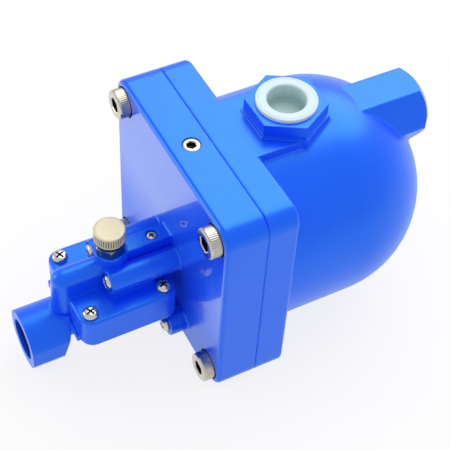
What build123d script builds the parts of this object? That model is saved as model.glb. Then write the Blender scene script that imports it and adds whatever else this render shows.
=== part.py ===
from build123d import *
import os

# Automatic float drain valve for a compressed air tank, in millimetres.
# The bowl lies along X: the dome points to +X, the drain outlet to -X, and +Z is up.
# While the pieces are made, x = 0 is the joint between the bowl's flange and the cover, and
# heights are measured from the bowl's axis. The last step stands the valve on z = 0, with the
# origin under the middle of the bowl's flange.

# --- driving dimensions ---
flange_side = 102.0  # the square flange; its half is the height of the bowl's axis above the table
flange_corner = 8.0
flange_thick = 14.0  # the bowl's own flange
cover_thick = 18.5
bolt_pitch = 84.0  # four M8 bolts on a square
bowl_radius = 49.5
bowl_wall = 5.5
bowl_straight = 50.0  # where the cylinder ends and the dome starts
port_bore = 9.3  # G1/2, bored to the thread's crest radius
inlet_flats = 30.0  # across flats of both inlet bosses
unit_x = -45.0  # the valve unit's upright axis
unit_side = 44.0  # the square valve unit
split_z = -23.0  # where the unit's lid meets its body, with the diaphragm between
joint_x = -30.5  # where the unit's lid meets the cover's bosses
outlet_z = -35.0
gap = 0.05  # between a shaft and its hole

# --- worked out from them ---
bolt_at = bolt_pitch / 2
bowl_inside = bowl_radius - bowl_wall
unit_half = unit_side / 2
unit_left = unit_x - unit_half
unit_right = unit_x + unit_half
cover_face = -cover_thick

# --- sizes that several pieces share ---
m8_shank, m8_head, m8_head_height, m8_socket = 4.0, 6.5, 8.0, 6.0
m8_sunk = 3.0  # how deep a bolt head sits in the cover
m4_shank, m4_head, m4_head_height = 2.0, 3.4, 2.5
lid_screw_at = 16.75  # lid screws, from the unit's axis both ways
tube_y, tube_z, tube_radius = 9.1, -4.9, 5.5  # the two upper screw tubes
tube_left = -50.4
tube_screw_sunk = 1.0
spine_half, spine_top, spine_foot = 4.1, 4.0, -10.4  # air passage block between the tubes
foot_y, foot_z, foot_radius = 16.5, -39.0, 5.75  # the lower mounting screws
foot_joint, foot_left = -22.5, -26.5
pilot_z, bypass_z, passage_radius = -6.8, -1.0, 1.0  # the two air passages
drain_z, drain_radius = -38.9, 3.0  # the water passage into the unit
inlet_x, inlet_top = 34.7, 57.5  # top inlet boss
end_inlet_z, end_inlet_x = 31.5, 99.0  # end inlet boss
column_radius, column_top = 7.0, 5.0  # the test valve's column
gland_bore = 4.4
ridge_radius, ridge_z, ridge_end = 5.2, -4.6, -67.0
chamber_radius = 16.0
valve_stroke = 2.0
pivot_x, pivot_z, lever_short = 8.0, pilot_z + 6.0, 6.0  # the float lever


def across(x):
    """The plane square to the bowl's axis at x, drawn with y to the right and z up."""
    return Plane(origin=(x, 0, 0), x_dir=(0, 1, 0), z_dir=(1, 0, 0))


def bar(x0, x1, radius, y=0.0, z=0.0):
    """A round bar along X."""
    return extrude(across(x0) * Pos(y, z) * Circle(radius), x1 - x0)


def post(z0, z1, radius, x=0.0, y=0.0):
    """A round post along Z."""
    return extrude(Plane.XY.offset(z0) * Pos(x, y) * Circle(radius), z1 - z0)


def pin(y0, y1, radius, x, z):
    """A round pin along Y."""
    return extrude(Plane.XZ.offset(-y0) * Pos(x, z) * Circle(radius), y0 - y1)


def block(x0, x1, y0, y1, z0, z1):
    """A box given by its limits."""
    return Pos((x0 + x1) / 2, (y0 + y1) / 2, (z0 + z1) / 2) * Box(x1 - x0, y1 - y0, z1 - z0)


def cone_x(x0, x1, r0, r1, y=0.0, z=0.0):
    """A cone along X, from radius r0 at x0 to r1 at x1."""
    length = x1 - x0
    return across(x0 + length / 2) * Pos(y, z) * Cone(r0, r1, length)


def cone_z(z0, z1, r0, r1, x=0.0, y=0.0):
    """An upright cone, from radius r0 at z0 to r1 at z1."""
    return Pos(x, y, (z0 + z1) / 2) * Cone(r0, r1, z1 - z0)


def hexagon_x(x0, x1, flats, y=0.0, z=0.0):
    """A hexagonal bar along X with a flat on top."""
    return extrude(across(x0) * Pos(y, z) * RegularPolygon(flats / 2, 6, major_radius=False), x1 - x0)


def hexagon_z(z0, z1, flats, x=0.0, y=0.0, turn=0.0):
    """An upright hexagonal bar; turn 0 has a corner towards +X."""
    outline = Pos(x, y) * Rot(0, 0, turn) * RegularPolygon(flats / 2, 6, major_radius=False)
    return extrude(Plane.XY.offset(z0) * outline, z1 - z0)


def ring_x(x0, x1, inner, outer, y=0.0, z=0.0):
    """A flat ring around a line along X."""
    return bar(x0, x1, outer, y, z) - bar(x0, x1, inner, y, z)


def ring_z(z0, z1, inner, outer, x=0.0, y=0.0):
    """A flat ring around an upright line."""
    return post(z0, z1, outer, x, y) - post(z0, z1, inner, x, y)


def corners(pitch_y, pitch_z):
    """The four corners of a rectangle around the bowl's axis."""
    return [(y, z) for y in (-pitch_y, pitch_y) for z in (-pitch_z, pitch_z)]


def cross_recess(depth, reach):
    """A cross recess in a screw head whose top lies at z = 0, to be cut away."""
    blade = 0.95
    slot = Pos(0, 0, -depth / 2) * Box(2 * reach, blade, depth)
    return slot + Rot(0, 0, 90) * slot


def pan_screw(shank_length):
    """An M4 pan head screw that stands on z = 0, with its shank below."""
    edge_fall, edge_in = 1.0, 1.1
    recess_depth, recess_reach = 1.6, 2.0
    head = post(0, m4_head_height - edge_fall, m4_head)
    head += cone_z(m4_head_height - edge_fall, m4_head_height, m4_head, m4_head - edge_in)
    head -= Pos(0, 0, m4_head_height) * Rot(0, 0, 25) * cross_recess(recess_depth, recess_reach)
    return head + post(-shank_length, 0, m4_shank)


def flange_plate(x0, x1):
    """The square plate with round corners that bowl and cover share."""
    outline = RectangleRounded(flange_side, flange_side, flange_corner)
    return extrude(across(x0) * outline, x1 - x0)


# --- bowl and cover ---
seal_groove_inner, seal_groove_outer, seal_groove_depth = 45.2, 47.7, 1.8
joint_bevel = 0.5  # the fine groove where cover and flange meet
screw_core_gap = 0.03  # a tapped hole is drawn this much wider than its screw


def meeting_edges(solid, centre, radius, beyond):
    """The curved edges that lie on a sphere, past x = beyond."""
    found = []
    for edge in solid.edges():
        middle = edge @ 0.5
        on_sphere = abs((middle - centre).length - radius) < 0.05
        if middle.X > beyond and on_sphere and edge.geom_type != GeomType.LINE:
            found.append(edge)
    return found


def wall_edges(solid, radius, x0, x1):
    """The edges on the upper half of a cylinder along X, from x0 to x1."""
    found = []
    for edge in solid.edges():
        middle = edge @ 0.5
        on_wall = abs(Vector(0, middle.Y, middle.Z).length - radius) < 0.1
        if x0 - 0.05 < middle.X < x1 and on_wall and middle.Z > 0:
            found.append(edge)
    return found


def make_bowl():
    """Cast bowl: flange, cylinder, dome, flat land on top and two hexagonal inlet bosses."""
    land_half, back_round = 17.3, 2.0
    land_low = 30.0  # inside the wall, below the land
    skirt_flats, skirt_top = 32.0, 51.6  # the wider foot of the top boss
    boss_root, chamfer_start, mouth_radius, corner_radius = 60.0, 3.0, 14.2, 17.5
    boss_round, dome_fillet, root_fillet = 1.5, 2.0, 1.2
    bolt_depth = 12.5
    boss = hexagon_x(boss_root, end_inlet_x, inlet_flats - 1, 0, end_inlet_z)
    boss = fillet(boss.edges().filter_by(Axis.X), boss_round)
    turned = bar(boss_root, end_inlet_x - chamfer_start, corner_radius, 0, end_inlet_z)
    turned += cone_x(end_inlet_x - chamfer_start, end_inlet_x, corner_radius, mouth_radius, 0, end_inlet_z)
    shell = bar(flange_thick / 2, bowl_straight, bowl_radius)
    shell += Pos(bowl_straight, 0, 0) * Sphere(bowl_radius)
    shell += boss & turned
    dome_centre = Vector(bowl_straight, 0, 0)
    shell = fillet(meeting_edges(shell, dome_centre, bowl_radius, boss_root), dome_fillet)
    flange = flange_plate(0, flange_thick)
    flange = fillet(flange.faces().sort_by(Axis.X)[-1].edges(), back_round)
    flange = chamfer(flange.faces().sort_by(Axis.X)[0].edges(), joint_bevel)
    shell += flange
    shell += block(flange_thick / 2, inlet_x, -land_half, land_half, land_low, flange_side / 2)
    shell += hexagon_z(land_low, skirt_top, skirt_flats, inlet_x, 0, 30)
    shell = fillet(wall_edges(shell, bowl_radius, flange_thick, boss_root), root_fillet)
    shell += hexagon_z(land_low, inlet_top, inlet_flats, inlet_x, 0, 30)
    shell -= bar(0, bowl_straight, bowl_inside)
    shell -= Pos(bowl_straight, 0, 0) * Sphere(bowl_inside)
    shell -= post(land_low, inlet_top, port_bore, inlet_x)
    shell -= bar(boss_root, end_inlet_x, port_bore, 0, end_inlet_z)
    for y, z in corners(bolt_at, bolt_at):
        shell -= bar(0, bolt_depth, m8_shank + screw_core_gap, y, z)
    return shell


def make_bowl_seal():
    """O-ring squashed square in the cover's groove."""
    play = 0.1
    return ring_x(-seal_groove_depth, 0, seal_groove_inner + play, seal_groove_outer - play)


port_x, port_screw_radius, port_screw_length, port_screw_socket = -8.3, 3.9, 7.0, 4.0
pad_face = -2.0  # of the pad inside the cover that carries the float's bracket


def foot_edges(plate):
    """The edges where the bosses stand on the cover's face."""
    found = []
    for edge in plate.edges():
        middle = edge @ 0.5
        if abs(middle.X - cover_face) < 0.02 and Vector(0, middle.Y, middle.Z).length < 48.5:
            found.append(edge)
    return found


def make_cover():
    """Cast cover: plate with a shallow pocket behind, and bosses that carry the valve unit."""
    face_round, pocket_radius, pocket_depth = 2.0, 42.5, 8.5
    pad_half, pad_low, pad_high = 12.0, -13.0, 7.0
    drain_boss, root = 9.0, cover_face + 1.0
    foot_web, foot_fillet = 3.0, 0.9
    bolt_clear, bolt_sink = 4.3, 7.1
    plate = flange_plate(cover_face, 0)
    plate = fillet(plate.faces().sort_by(Axis.X)[0].edges(), face_round)
    plate = chamfer(plate.faces().sort_by(Axis.X)[-1].edges(), joint_bevel)
    plate -= bar(-pocket_depth, 0, pocket_radius)
    plate += block(-pocket_depth, pad_face, -pad_half, pad_half, pad_low, pad_high)
    for side in (-1, 1):
        plate += bar(joint_x, root, tube_radius, side * tube_y, tube_z)
        plate += bar(foot_joint, root, foot_radius, side * foot_y, foot_z)
    plate += block(joint_x, root, -spine_half, spine_half, spine_foot, spine_top)
    plate += bar(foot_joint, root, drain_boss, 0, drain_z)
    plate += block(foot_joint, root, -foot_y, foot_y, foot_z - foot_web, foot_z + foot_web)
    plate = fillet(foot_edges(plate), foot_fillet)
    for y, z in corners(bolt_at, bolt_at):
        plate -= bar(cover_face, 0, bolt_clear, y, z)
        plate -= bar(cover_face, cover_face + m8_sunk, bolt_sink, y, z)
    for side in (-1, 1):
        plate -= bar(joint_x, upper_screw_end, m4_shank + screw_core_gap, side * tube_y, tube_z)
        plate -= bar(foot_joint, lower_screw_end, m4_shank + screw_core_gap, side * foot_y, foot_z)
        bracket_hole, bracket_y = m3_shank + screw_core_gap, side * bracket_screw_y
        plate -= bar(pad_face - bracket_screw_length, pad_face, bracket_hole, bracket_y, bracket_screw_z)
    plate -= bar(foot_joint, 0, drain_radius, 0, drain_z)
    plate -= bar(joint_x, pad_face, passage_radius, 0, bypass_z)
    plate -= bar(joint_x, pad_face, passage_radius, 0, pilot_z)
    plate -= bar(pad_face - pilot_thread_length, pad_face, pilot_thread + screw_core_gap, 0, pilot_z)
    for z in (bypass_z, pilot_z):
        plate -= ring_x(joint_x, joint_x + small_groove_depth, small_groove_inner, small_groove_outer, 0, z)
    drain_groove = ring_x(foot_joint, foot_joint + small_groove_depth, drain_groove_inner, drain_groove_outer)
    plate -= Pos(0, 0, drain_z) * drain_groove
    plate -= ring_x(-seal_groove_depth, 0, seal_groove_inner, seal_groove_outer)
    plate -= post(bowl_inside - 6, flange_side / 2, port_screw_radius + screw_core_gap, port_x)
    plate -= post(spine_top - passage_screw_sunk, spine_top, passage_screw_head + head_play, passage_screw_x)
    plate -= post(bypass_z, spine_top, passage_screw_shank + screw_core_gap, passage_screw_x)
    return plate


def make_cover_bolts():
    """Four M8 socket head bolts that hold the cover to the bowl."""
    rim, socket_depth, reach = 0.6, 4.0, 11.5
    left = cover_face + m8_sunk - m8_head_height
    head = bar(left, left + m8_head_height, m8_head)
    head = chamfer(head.edges().sort_by(Axis.X)[0], rim)
    head -= hexagon_x(left, left + socket_depth, m8_socket)
    bolt = head + bar(left + m8_head_height, reach, m8_shank)
    return [Pos(0, y, z) * bolt for y, z in corners(bolt_at, bolt_at)]


def make_port_screw():
    """Flush set screw that closes the balance port in the cover's top edge."""
    top, socket_depth, rim = flange_side / 2 - 0.2, 3.0, 0.4
    screw = post(top - port_screw_length, top, port_screw_radius, port_x)
    screw = chamfer(screw.edges().sort_by(Axis.Z)[-1], rim)
    return screw - hexagon_z(top - socket_depth, top, port_screw_socket, port_x, 0, 15)


passage_screw_x, passage_screw_head, passage_screw_shank = -26.0, 2.3, 1.4
passage_screw_sunk = 1.2


def make_passage_screw():
    """Small sunk screw in the air block, which closes the cross drilling."""
    seat_z, tip_gap, head_height, dome = spine_top - passage_screw_sunk, 1.4, 1.1, 0.5
    head = post(0, head_height, passage_screw_head)
    head = chamfer(head.edges().sort_by(Axis.Z)[-1], dome)
    head -= Pos(0, 0, head_height) * Rot(0, 0, 20) * cross_recess(0.8, 1.3)
    shank_length = seat_z - bypass_z - tip_gap
    return Pos(passage_screw_x, 0, seat_z) * (head + post(-shank_length, 0, passage_screw_shank))


# --- valve unit: body and lid ---
small_groove_inner, small_groove_outer, small_groove_depth = 1.5, 2.5, 0.8
drain_groove_inner, drain_groove_outer = 4.2, 6.4
upper_screw_end, lower_screw_end = -13.0, -13.0
nozzle_radius, nozzle_flat, nozzle_end, nozzle_floor = 13.4, 12.8, -87.4, -72.0
hub_radius, hub_waist, hub_foot = 14.5, 11.5, -42.0
recess_radius, wall_top, wall_foot = 10.0, -33.0, -36.0
seat_thread, seat_bore, seat_flange = 7.0, 4.5, 8.5
deck_foot = -28.0
body_corner = 6.0
inlet_room = 8.0
cap_thread, cap_flats, cap_height, cap_floor = 8.0, 15.0, 4.0, 1.2
column_foot_z = -21.2
bleed_radius = 1.2
lid_top, lid_screw_end = -11.5, -27.0
hole_play = 0.2  # a clearance hole is this much wider than its screw, in radius
head_play = 0.4


def unit_plate(z0, z1):
    """The square plate with round corners that body and lid share."""
    outline = Pos(unit_x, 0) * RectangleRounded(unit_side, unit_side, body_corner)
    return extrude(Plane.XY.offset(z0) * outline, z1 - z0)


def make_valve_body():
    """Cast body: deck, hub with the main seat, outlet nozzle, and the foot screwed to the cover."""
    under_round, neck_radius, neck_z, inlet_neck = 2.0, 7.0, -33.0, 6.5
    outlet_way, outlet_way_z = 3.2, -30.4
    ledge_out, ledge_half, ledge_low, ledge_high = 1.4, 16.5, -27.0, -23.6
    collar_radius = 7.3
    deck = unit_plate(deck_foot, split_z)
    deck = fillet(deck.faces().sort_by(Axis.Z)[0].edges(), under_round)
    nozzle = bar(nozzle_end, unit_left + 1, nozzle_radius, 0, outlet_z)
    nozzle &= block(nozzle_end, unit_left + 1, -nozzle_flat, nozzle_flat, -60, 0)
    shoulder = Polyline(
        (nozzle_end, outlet_z - 15),
        (-73.6, outlet_z - 15),
        (-72.9, -38.5),
        (-69.0, -27.0),
        (unit_left + 1, split_z),
        (unit_left + 1, outlet_z + 15),
        (nozzle_end, outlet_z + 15),
        close=True,
    )
    nozzle &= extrude(Plane.XZ * make_face(shoulder), 2 * nozzle_radius, both=True)
    nozzle -= block(unit_left, unit_x, -nozzle_radius, nozzle_radius, split_z, 0)
    body = deck + nozzle
    body += bar(nozzle_floor - 4, unit_x, neck_radius, 0, neck_z)
    body += post(-33.0, deck_foot + 1, hub_radius, unit_x)
    body += cone_z(-37.0, -33.0, hub_waist, hub_radius, unit_x)
    body += post(hub_foot, -37.0, hub_waist, unit_x)
    body += bar(unit_x + inlet_room + 1.5, foot_joint, inlet_neck, 0, drain_z)
    foot = extrude(across(foot_left) * make_hull(
        [
            *(Pos(-foot_y, foot_z) * Circle(foot_radius)).edges(),
            *(Pos(0, drain_z) * Circle(9.0)).edges(),
            *(Pos(foot_y, foot_z) * Circle(foot_radius)).edges(),
        ]
    ), foot_joint - foot_left)
    body += foot
    body += block(unit_left - ledge_out, unit_left + 1, -ledge_half, ledge_half, ledge_low, ledge_high)
    body += post(-26.0, column_foot_z, collar_radius, ridge_end) & block(-80, unit_left, -20, 20, -30, 0)
    body -= post(split_z - diaphragm_thick, split_z, diaphragm_radius + 0.1, unit_x)
    body -= cone_z(-29.2, -26.2, recess_radius, chamber_radius, unit_x)
    body -= post(-26.2, split_z, chamber_radius, unit_x)
    body -= post(wall_top, -29.0, recess_radius, unit_x)
    body -= post(wall_foot, wall_top, seat_thread + screw_core_gap, unit_x)
    body -= post(hub_foot, wall_foot, inlet_room, unit_x)
    body -= post(hub_foot, hub_foot + 2, cap_thread + screw_core_gap, unit_x)
    body -= bar(nozzle_end, nozzle_floor, port_bore, 0, outlet_z)
    body -= bar(nozzle_floor - 1, unit_x - recess_radius + 1, outlet_way, 0, outlet_way_z)
    body -= bar(unit_x + inlet_room - 1, foot_joint, drain_radius, 0, drain_z)
    body -= post(outlet_z, column_foot_z, bleed_radius, ridge_end)
    for side in (-1, 1):
        body -= bar(foot_left, foot_joint, m4_shank + hole_play, side * foot_y, foot_z)
        for x in (-lid_screw_at, lid_screw_at):
            body -= post(lid_screw_end, split_z, m4_shank + screw_core_gap, unit_x + x, side * lid_screw_at)
    return body


def make_lid():
    """Cast lid: plate, vent ridge with its upright end, test valve column and two screw tubes."""
    top_round, draft_angle, web_half, edge_round = 1.2, -2.5, 12.7, 0.6
    roof_z, core_bore = -18.0, 1.5
    stem_bore, seat_edge, gland_floor = 2.6, -3.5, 1.0
    root = lid_top - 1.0
    lid = unit_plate(split_z, lid_top)
    lid = fillet(lid.faces().sort_by(Axis.Z)[-1].edges(), top_round)
    upright = Pos(ridge_end, 0) * Circle(ridge_radius)
    upright += Pos(ridge_end + 4, 0) * Rectangle(8, 2 * ridge_radius)
    fall = extrude(Plane.XY.offset(ridge_z) * upright, column_foot_z - ridge_z, taper=draft_angle)
    lid += fall
    lid += bar(ridge_end, unit_x, ridge_radius, 0, ridge_z)
    lid += Pos(ridge_end, 0, ridge_z) * Sphere(ridge_radius)
    lid += block(ridge_end, unit_x, -ridge_radius, ridge_radius, root, ridge_z)
    column = post(root, column_top, column_radius, unit_x)
    lid += fillet(column.edges().filter_by(GeomType.CIRCLE).sort_by(Axis.Z)[-1], edge_round)
    for side in (-1, 1):
        tube = bar(tube_left, joint_x, tube_radius, side * tube_y, tube_z)
        lid += fillet(tube.edges().filter_by(GeomType.CIRCLE).sort_by(Axis.X)[0], edge_round)
    lid += block(tube_left, joint_x, -web_half, web_half, root, tube_z)
    spine = block(unit_x, joint_x, -spine_half, spine_half, root, spine_top)
    lid += fillet(spine.faces().sort_by(Axis.Z)[-1].edges().filter_by(Axis.X), edge_round)
    lid -= post(split_z, roof_z, chamber_radius, unit_x)
    lid -= post(roof_z, seat_edge, core_bore, unit_x)
    lid -= post(seat_edge, gland_floor, stem_bore, unit_x)
    lid -= post(gland_floor, column_top, gland_bore + screw_core_gap, unit_x)
    lid -= bar(unit_x, joint_x, passage_radius, 0, pilot_z)
    lid -= bar(unit_x, joint_x, passage_radius, 0, bypass_z)
    lid -= bar(ridge_end, unit_x, bleed_radius, 0, pilot_z)
    lid -= post(column_foot_z, pilot_z + bleed_radius, bleed_radius, ridge_end)
    for side in (-1, 1):
        lid -= bar(tube_left, joint_x, m4_shank + hole_play, side * tube_y, tube_z)
        lid -= bar(tube_left, tube_left + tube_screw_sunk, m4_head + head_play, side * tube_y, tube_z)
        for x in (-lid_screw_at, lid_screw_at):
            lid -= post(split_z, lid_top, m4_shank + hole_play, unit_x + x, side * lid_screw_at)
    return lid


def make_lid_screws():
    """Four pan head screws through the lid into the body."""
    places = corners(lid_screw_at, lid_screw_at)
    screw = pan_screw(lid_top - lid_screw_end)
    return [Pos(unit_x + u, v, lid_top) * screw for u, v in places]


def make_upper_mount_screws():
    """Two screws through the lid's tubes into the cover, heads towards the outlet."""
    seat = tube_left + tube_screw_sunk
    screw = Rot(0, -90, 0) * pan_screw(upper_screw_end - seat)
    return [Pos(seat, side * tube_y, tube_z) * screw for side in (-1, 1)]


def make_lower_mount_screws():
    """Two screws through the body's foot into the cover."""
    screw = Rot(0, -90, 0) * pan_screw(lower_screw_end - foot_left)
    return [Pos(foot_left, side * foot_y, foot_z) * screw for side in (-1, 1)]


def make_passage_seals():
    """Two small O-rings around the air passages, squashed square in their grooves."""
    inner, outer = small_groove_inner + gap, small_groove_outer - gap
    ring = ring_x(joint_x, joint_x + small_groove_depth, inner, outer)
    return [Pos(0, 0, z) * ring for z in (pilot_z, bypass_z)]


def make_drain_seal():
    """O-ring around the water passage at the foot, squashed square in its groove."""
    play = 0.1
    inner, outer = drain_groove_inner + play, drain_groove_outer - play
    return ring_x(foot_joint, foot_joint + small_groove_depth, inner, outer, 0, drain_z)


# --- main valve, opened downwards by the diaphragm ---
diaphragm_radius, diaphragm_thick = 19.5, 1.2
disc_radius, disc_thick = 8.8, 1.0
dish_depth = 1.5
spindle_radius = 2.0
disc_top = split_z - dish_depth - diaphragm_thick
seal_top = wall_foot - 0.5
poppet_radius, seal_thick, poppet_thick = 6.2, 1.5, 1.5
poppet_foot = seal_top - seal_thick - poppet_thick


def make_diaphragm():
    """Rubber diaphragm: clamped rim, sloping convolution and flat middle with a hole."""
    flex_outer, flex_inner = 15.5, 9.6
    top, low = split_z, split_z - dish_depth
    profile = Polyline(
        (spindle_radius + gap, low),
        (flex_inner, low),
        (flex_outer, top),
        (diaphragm_radius, top),
        (diaphragm_radius, top - diaphragm_thick),
        (flex_outer, top - diaphragm_thick),
        (flex_inner, low - diaphragm_thick),
        (spindle_radius + gap, low - diaphragm_thick),
        close=True,
    )
    return Pos(unit_x, 0, 0) * revolve(Plane.XZ * make_face(profile), Axis.Z)


def make_spindle():
    """Turned steel spindle with the disc that backs the diaphragm."""
    thread_top = split_z + 2.6
    spindle = post(poppet_foot, thread_top, spindle_radius, unit_x)
    return spindle + post(disc_top - disc_thick, disc_top, disc_radius, unit_x)


def make_spindle_washer():
    """Washer above the diaphragm."""
    low = split_z - dish_depth
    return ring_z(low, low + disc_thick, spindle_radius + gap, disc_radius, unit_x)


def make_spindle_nut():
    """Nut that clamps diaphragm and washer on the spindle."""
    low, height, flats = split_z - dish_depth + disc_thick, 2.8, 7.0
    nut = hexagon_z(low, low + height, flats, unit_x)
    return nut - post(low, low + height, spindle_radius + screw_core_gap, unit_x)


def make_poppet():
    """Brass poppet screwed on the spindle's lower end."""
    spigot_radius, spigot_height = 3.2, 1.5
    top = seal_top - seal_thick
    poppet = post(poppet_foot, top, poppet_radius, unit_x)
    poppet += post(top, top + spigot_height, spigot_radius, unit_x)
    return poppet - post(poppet_foot, top + spigot_height, spindle_radius + screw_core_gap, unit_x)


def make_poppet_seal():
    """Rubber ring on the poppet, which closes the seat."""
    return ring_z(seal_top - seal_thick, seal_top, 3.2 + gap, poppet_radius, unit_x)


def make_seat():
    """Brass seat screwed into the hub's wall from below, with a thin flange."""
    low = seal_top + 0.02
    seat = post(wall_foot, wall_top, seat_thread, unit_x) + post(low, wall_foot, 7.6, unit_x)
    return seat - post(low, wall_top, seat_bore, unit_x)


def make_bottom_cap():
    """Hexagonal cap that closes the hub and carries the spring."""
    thread_up, cup_radius, poppet_room = 1.6, 5.2, 0.5
    cap = hexagon_z(hub_foot - cap_height, hub_foot, cap_flats, unit_x, 0, 30)
    cap += post(hub_foot, hub_foot + thread_up, cap_thread, unit_x)
    cap -= post(hub_foot - poppet_room, hub_foot + thread_up, poppet_radius + poppet_room, unit_x)
    return cap - post(hub_foot - cap_height + cap_floor, hub_foot, cup_radius, unit_x)


def make_valve_spring():
    """Compression spring that closes the main valve, with flat ends."""
    wire, radius, turns = 0.35, 3.8, 3
    floor = hub_foot - cap_height + cap_floor
    low, high = floor + wire + gap, poppet_foot - wire - gap
    path = Helix(pitch=(high - low) / turns, height=high - low, radius=radius)
    coil = sweep(Plane(origin=path @ 0, z_dir=path % 0) * Circle(wire), path=path)
    return Pos(unit_x, 0, low) * coil


# --- manual test valve ---
nut_flats, nut_top, nut_turn = 12.0, 9.6, 11.5
stem_radius = 2.5
ring_low, ring_high, ring_outer = 9.7, 11.3, 5.7
knob_radius, knob_low, knob_top, knob_teeth = 6.8, 11.4, 17.4, 40


def make_gland_nut():
    """Chromed gland nut that guides the test valve's stem."""
    shank_low, bevel_foot, bevel_top = 1.4, 7.8, 5.75
    nut = hexagon_z(column_top, nut_top, nut_flats, unit_x, 0, nut_turn)
    half_height = (nut_top - column_top) / 2
    bevel = post(column_top, column_top + half_height, nut_flats, unit_x)
    bevel += cone_z(column_top + half_height, nut_top, bevel_foot, bevel_top, unit_x)
    nut &= bevel
    nut += post(shank_low, column_top, gland_bore, unit_x)
    return nut - post(shank_low, nut_top, stem_radius + gap, unit_x)


def make_stem_ring():
    """Black plastic ring between gland nut and knob, carried up and down by the knob."""
    return ring_z(ring_low, ring_high, stem_radius + gap, ring_outer, unit_x)


def make_test_stem():
    """Needle of the test valve, fixed in the knob; its cone closes the air passage."""
    tip_z, tip_radius, cone_top = -4.4, 0.9, -1.733
    stem = cone_z(tip_z, cone_top, tip_radius, stem_radius, unit_x)
    return stem + post(cone_top, knob_top - 1.2, stem_radius, unit_x)


def make_knob():
    """Nickel plated knob with straight knurling around its side."""
    tooth_depth, rim, knurl_low, knurl_high = 0.35, 0.6, knob_low + 0.8, knob_top - 0.7
    knob = post(knob_low, knob_top, knob_radius)
    knob = chamfer(knob.edges().filter_by(GeomType.CIRCLE).sort_by(Axis.Z)[-1], rim)
    groove = Pos(knob_radius + 0.1, 0) * Rot(0, 0, 45) * Rectangle(2 * tooth_depth, 2 * tooth_depth)
    cutter = extrude(Plane.XY.offset(knurl_low) * groove, knurl_high - knurl_low)
    for tooth in range(knob_teeth):
        knob -= Rot(0, 0, 360 * tooth / knob_teeth) * cutter
    knob -= post(knob_low, knob_top - 1.2, stem_radius + screw_core_gap)
    return Pos(unit_x, 0, 0) * knob


# --- float and pilot valve, inside the bowl ---
pilot_thread, pilot_thread_length, pilot_flats = 2.5, 5.0, 8.0
needle_radius, needle_tip = 1.8, -0.4
m3_shank = 1.5
bracket_screw_y, bracket_screw_z, bracket_screw_length = 8.5, 3.0, 5.0
sheet, ear_inner = 1.5, 4.3
pivot_radius, lever_pin = 1.5, 0.9
head_left, head_right = 6.0, 10.2
pivot_play = 0.3
float_x, float_z, float_radius, float_skin = 52.0, -16.0, 25.5, 0.5


def make_pilot_seat():
    """Brass cartridge: the pilot orifice, and a bore that guides the needle."""
    nose, orifice, side_port = 4.2, 0.6, 0.8
    seat = bar(pad_face - pilot_thread_length, pad_face, pilot_thread, 0, pilot_z)
    seat += hexagon_x(pad_face, nose, pilot_flats, 0, pilot_z)
    seat -= bar(pad_face - pilot_thread_length, needle_tip, orifice, 0, pilot_z)
    seat -= bar(needle_tip - 0.6, nose, needle_radius + gap, 0, pilot_z)
    return seat - post(pilot_z - pilot_flats, pilot_z + pilot_flats, side_port, needle_tip - 0.1 + side_port)


def make_pilot_needle():
    """Steel needle with a slotted head for the lever's pin."""
    head_y, head_z, slot_x, slot_z = 1.7, 2.6, 1.0, 1.5
    needle = bar(needle_tip + 1.4, head_left, needle_radius, 0, pilot_z)
    needle += block(head_left, head_right, -head_y, head_y, pilot_z - head_z, pilot_z + head_z)
    slot = block(pivot_x - slot_x, pivot_x + slot_x, -head_y, head_y, pilot_z - slot_z, pilot_z + slot_z)
    return needle - slot


def make_needle_tip():
    """Rubber tip of the needle, which closes the orifice."""
    return bar(needle_tip, needle_tip + 1.4, needle_radius, 0, pilot_z)


def make_float_bracket():
    """Bent sheet bracket with two ears, screwed to the cover's inner pad."""
    right, low, high, half = pivot_x + 4.0, -12.0, 6.0, 11.0
    bracket = block(pad_face, pad_face + sheet, -half, half, low, high)
    for side in (-1, 1):
        near, far = sorted((side * ear_inner, side * (ear_inner + sheet)))
        bracket += block(pad_face, right, near, far, pivot_z - 4.0, pivot_z + 4.0)
    bracket -= hexagon_x(pad_face, pad_face + sheet, pilot_flats + 0.4, 0, pilot_z)
    bracket -= pin(-half, half, pivot_radius + screw_core_gap, pivot_x, pivot_z)
    for side in (-1, 1):
        hole = bar(pad_face, pad_face + sheet, m3_shank + hole_play, 0, bracket_screw_z)
        bracket -= Pos(0, side * bracket_screw_y, 0) * hole
    return bracket - block(pad_face, pad_face + sheet, -2.2, 2.2, bypass_z - 1.2, high)


def make_bracket_screws():
    """Two small screws that hold the bracket."""
    head = bar(pad_face + sheet, pad_face + sheet + 1.8, 2.4)
    screw = head + bar(pad_face - bracket_screw_length + 0.2, pad_face + sheet, m3_shank)
    screw -= block(pad_face + sheet + 0.9, pad_face + sheet + 1.8, -2.4, 2.4, -0.4, 0.4)
    return [Pos(0, side * bracket_screw_y, bracket_screw_z) * screw for side in (-1, 1)]


def make_pivot_pin():
    """Pin of the float lever, riveted in the bracket's ears."""
    reach = ear_inner + sheet
    pivot = pin(-reach, reach, pivot_radius, pivot_x, pivot_z)
    for side in (-1, 1):
        pivot += pin(*sorted((side * reach, side * (reach + 0.8))), 2.3, pivot_x, pivot_z)
    return pivot


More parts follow.
